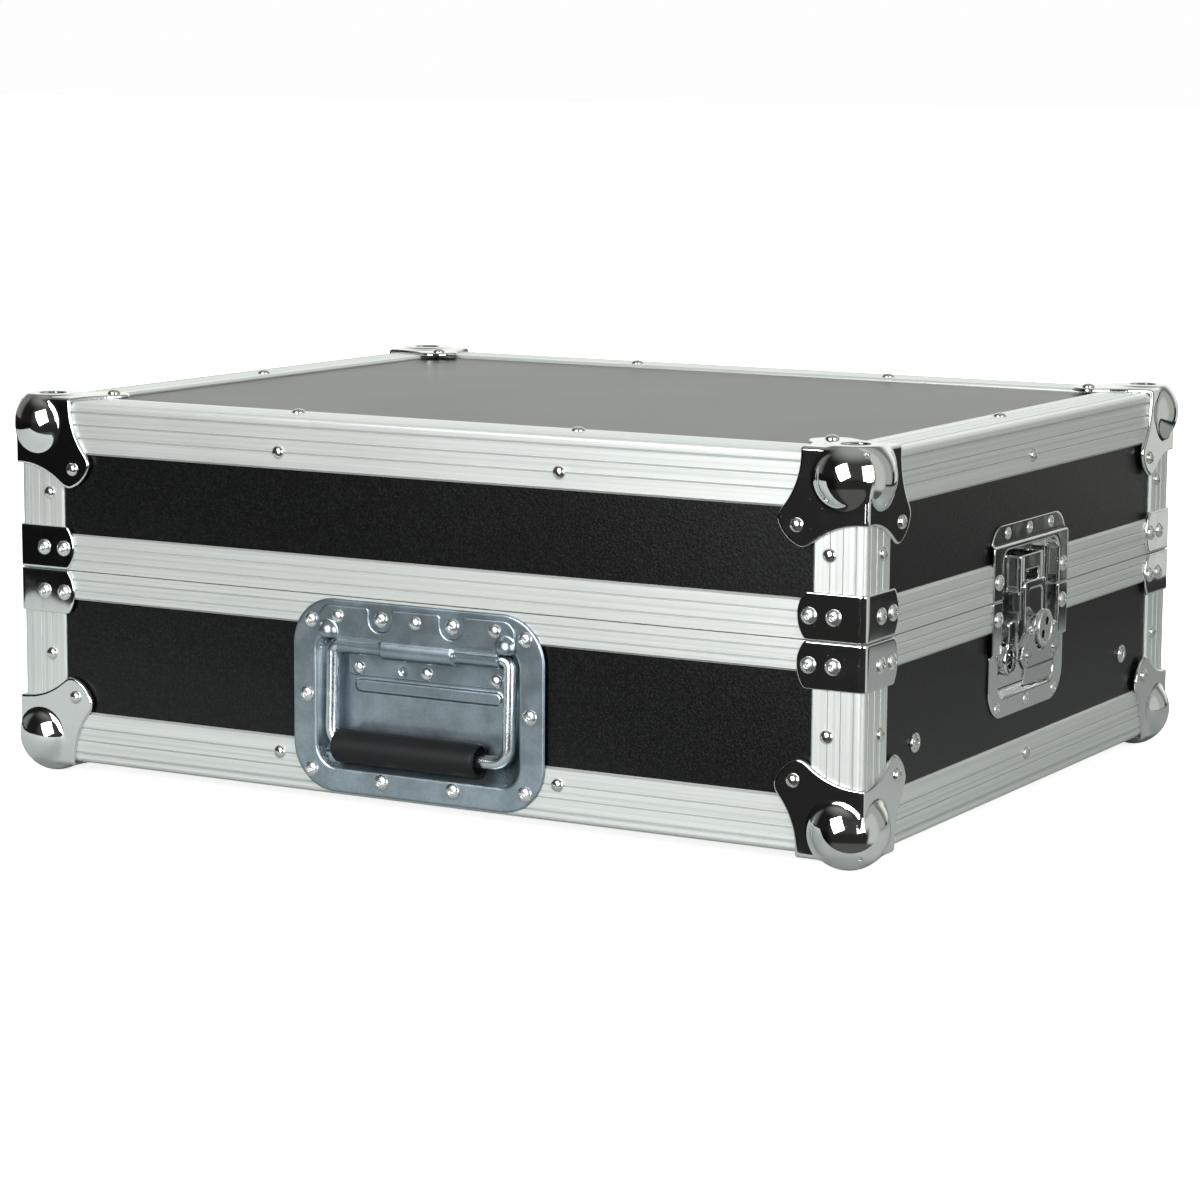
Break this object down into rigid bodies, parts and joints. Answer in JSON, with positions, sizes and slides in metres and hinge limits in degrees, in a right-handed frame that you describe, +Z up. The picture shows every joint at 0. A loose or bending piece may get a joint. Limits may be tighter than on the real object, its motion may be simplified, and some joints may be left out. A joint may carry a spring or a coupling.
{
  "type": "mixer rack case",
  "caption": "Low transit case for a rack mixer: laminated plywood in aluminium edge profiles, ball corners, lift-off lid with butterfly latches, sprung recessed handle.",
  "frame": {"origin": "middle of the footprint at the height of the ball corners' lowest points", "axes": "+X to the right along the front, with a latch at each end; -Y is the front with the handle; +Z up, the way the lid lifts"},
  "size_m": [0.5618, 0.4514, 0.2231],
  "materials": {
    "ply": "black textured laminate on plywood",
    "profile": "satin anodised extrusion",
    "corner_chrome": "bright chromed pressing",
    "rivet": "bright plated",
    "rail": "black powder coat",
    "handle_zinc": "bluish zinc plated",
    "spring": "spring steel",
    "grip": "matt black moulded grip",
    "latch_chrome": "bright chromed pressing",
    "foam": "dark open-cell foam"
  },
  "bodies": {
    "base": {"base_floor": "ply", "base_front_panel": "ply", "base_back_panel": "ply", "base_left_panel": "ply", "base_right_panel": "ply", "base_front_angle": "profile", "base_back_angle": "profile", "base_left_angle": "profile", "base_right_angle": "profile", "base_posts": "profile", "base_rim": "profile", "base_corner_front_left": "corner_chrome", "base_corner_front_right": "corner_chrome", "base_corner_back_left": "corner_chrome", "base_corner_back_right": "corner_chrome", "base_braces": "corner_chrome", "base_dome_rivets": "rivet", "base_pop_rivets": "rivet", "rack_rail_left": "rail", "rack_rail_right": "rail", "rail_screws": "rivet", "handle_dish": "handle_zinc", "handle_hinge_plate": "handle_zinc", "handle_plate_rivets": "rivet", "handle_spring": "spring", "latch_left_base_dish": "latch_chrome", "latch_right_base_dish": "latch_chrome"},
    "lid": {"latch_left_lid_dish": "latch_chrome", "latch_left_keeper": "latch_chrome", "latch_right_lid_dish": "latch_chrome", "latch_right_keeper": "latch_chrome", "lid_top_panel": "ply", "lid_front_panel": "ply", "lid_back_panel": "ply", "lid_left_panel": "ply", "lid_right_panel": "ply", "lid_front_angle": "profile", "lid_back_angle": "profile", "lid_left_angle": "profile", "lid_right_angle": "profile", "lid_posts": "profile", "lid_rim": "profile", "lid_corner_front_left": "corner_chrome", "lid_corner_front_right": "corner_chrome", "lid_corner_back_left": "corner_chrome", "lid_corner_back_right": "corner_chrome", "lid_braces": "corner_chrome", "lid_dome_rivets": "rivet", "lid_pop_rivets": "rivet", "lid_foam": "foam"},
    "handle": {"handle_bail": "handle_zinc", "handle_grip": "grip"},
    "latch_right_spindle": {"latch_right_spindle": "latch_chrome"},
    "latch_right_wing": {"latch_right_wing": "latch_chrome", "latch_right_wing_pin": "latch_chrome"},
    "latch_right_hook": {"latch_right_hook": "latch_chrome"},
    "latch_left_spindle": {"latch_left_spindle": "latch_chrome"},
    "latch_left_wing": {"latch_left_wing": "latch_chrome", "latch_left_wing_pin": "latch_chrome"},
    "latch_left_hook": {"latch_left_hook": "latch_chrome"}
  },
  "joints": [
    {"name": "lid_lift", "type": "slide", "parent": "base", "child": "lid", "axis": [0, 0, 1], "range_m": [0, 0.2]},
    {"name": "handle_swing", "type": "hinge", "parent": "base", "child": "handle", "pos_m": [0.0015, -0.214, 0.0937], "axis": [-1, 0, 0], "range_deg": [0, 88], "stiffness_Nm_per_rad": 0.12, "springref_deg": -28.65},
    {"name": "latch_right_turn", "type": "hinge", "parent": "base", "child": "latch_right_spindle", "pos_m": [0.27, 0, 0.1017], "axis": [1, 0, 0], "range_deg": [0, 180]},
    {"name": "latch_right_fold", "type": "hinge", "parent": "latch_right_spindle", "child": "latch_right_wing", "pos_m": [0.2785, 0, 0.1017], "axis": [0, -1, 0], "range_deg": [0, 90]},
    {"name": "latch_right_hook_lift", "type": "hinge", "parent": "base", "child": "latch_right_hook", "pos_m": [0.35, 0, 0.0807], "axis": [0, 1, 0], "range_deg": [0, 3.6]},
    {"name": "latch_left_turn", "type": "hinge", "parent": "base", "child": "latch_left_spindle", "pos_m": [-0.27, 0, 0.1017], "axis": [-1, 0, 0], "range_deg": [0, 180]},
    {"name": "latch_left_fold", "type": "hinge", "parent": "latch_left_spindle", "child": "latch_left_wing", "pos_m": [-0.2785, 0, 0.1017], "axis": [0, 1, 0], "range_deg": [0, 90]},
    {"name": "latch_left_hook_lift", "type": "hinge", "parent": "base", "child": "latch_left_hook", "pos_m": [-0.35, 0, 0.0807], "axis": [0, -1, 0], "range_deg": [0, 3.6]}
  ],
  "couplings": [
    {"joint": "latch_right_fold", "follows": "latch_right_turn", "ratio": 0.5},
    {"joint": "latch_right_hook_lift", "follows": "latch_right_turn", "ratio": 0.02},
    {"joint": "latch_left_fold", "follows": "latch_left_turn", "ratio": 0.5},
    {"joint": "latch_left_hook_lift", "follows": "latch_left_turn", "ratio": 0.02}
  ]
}
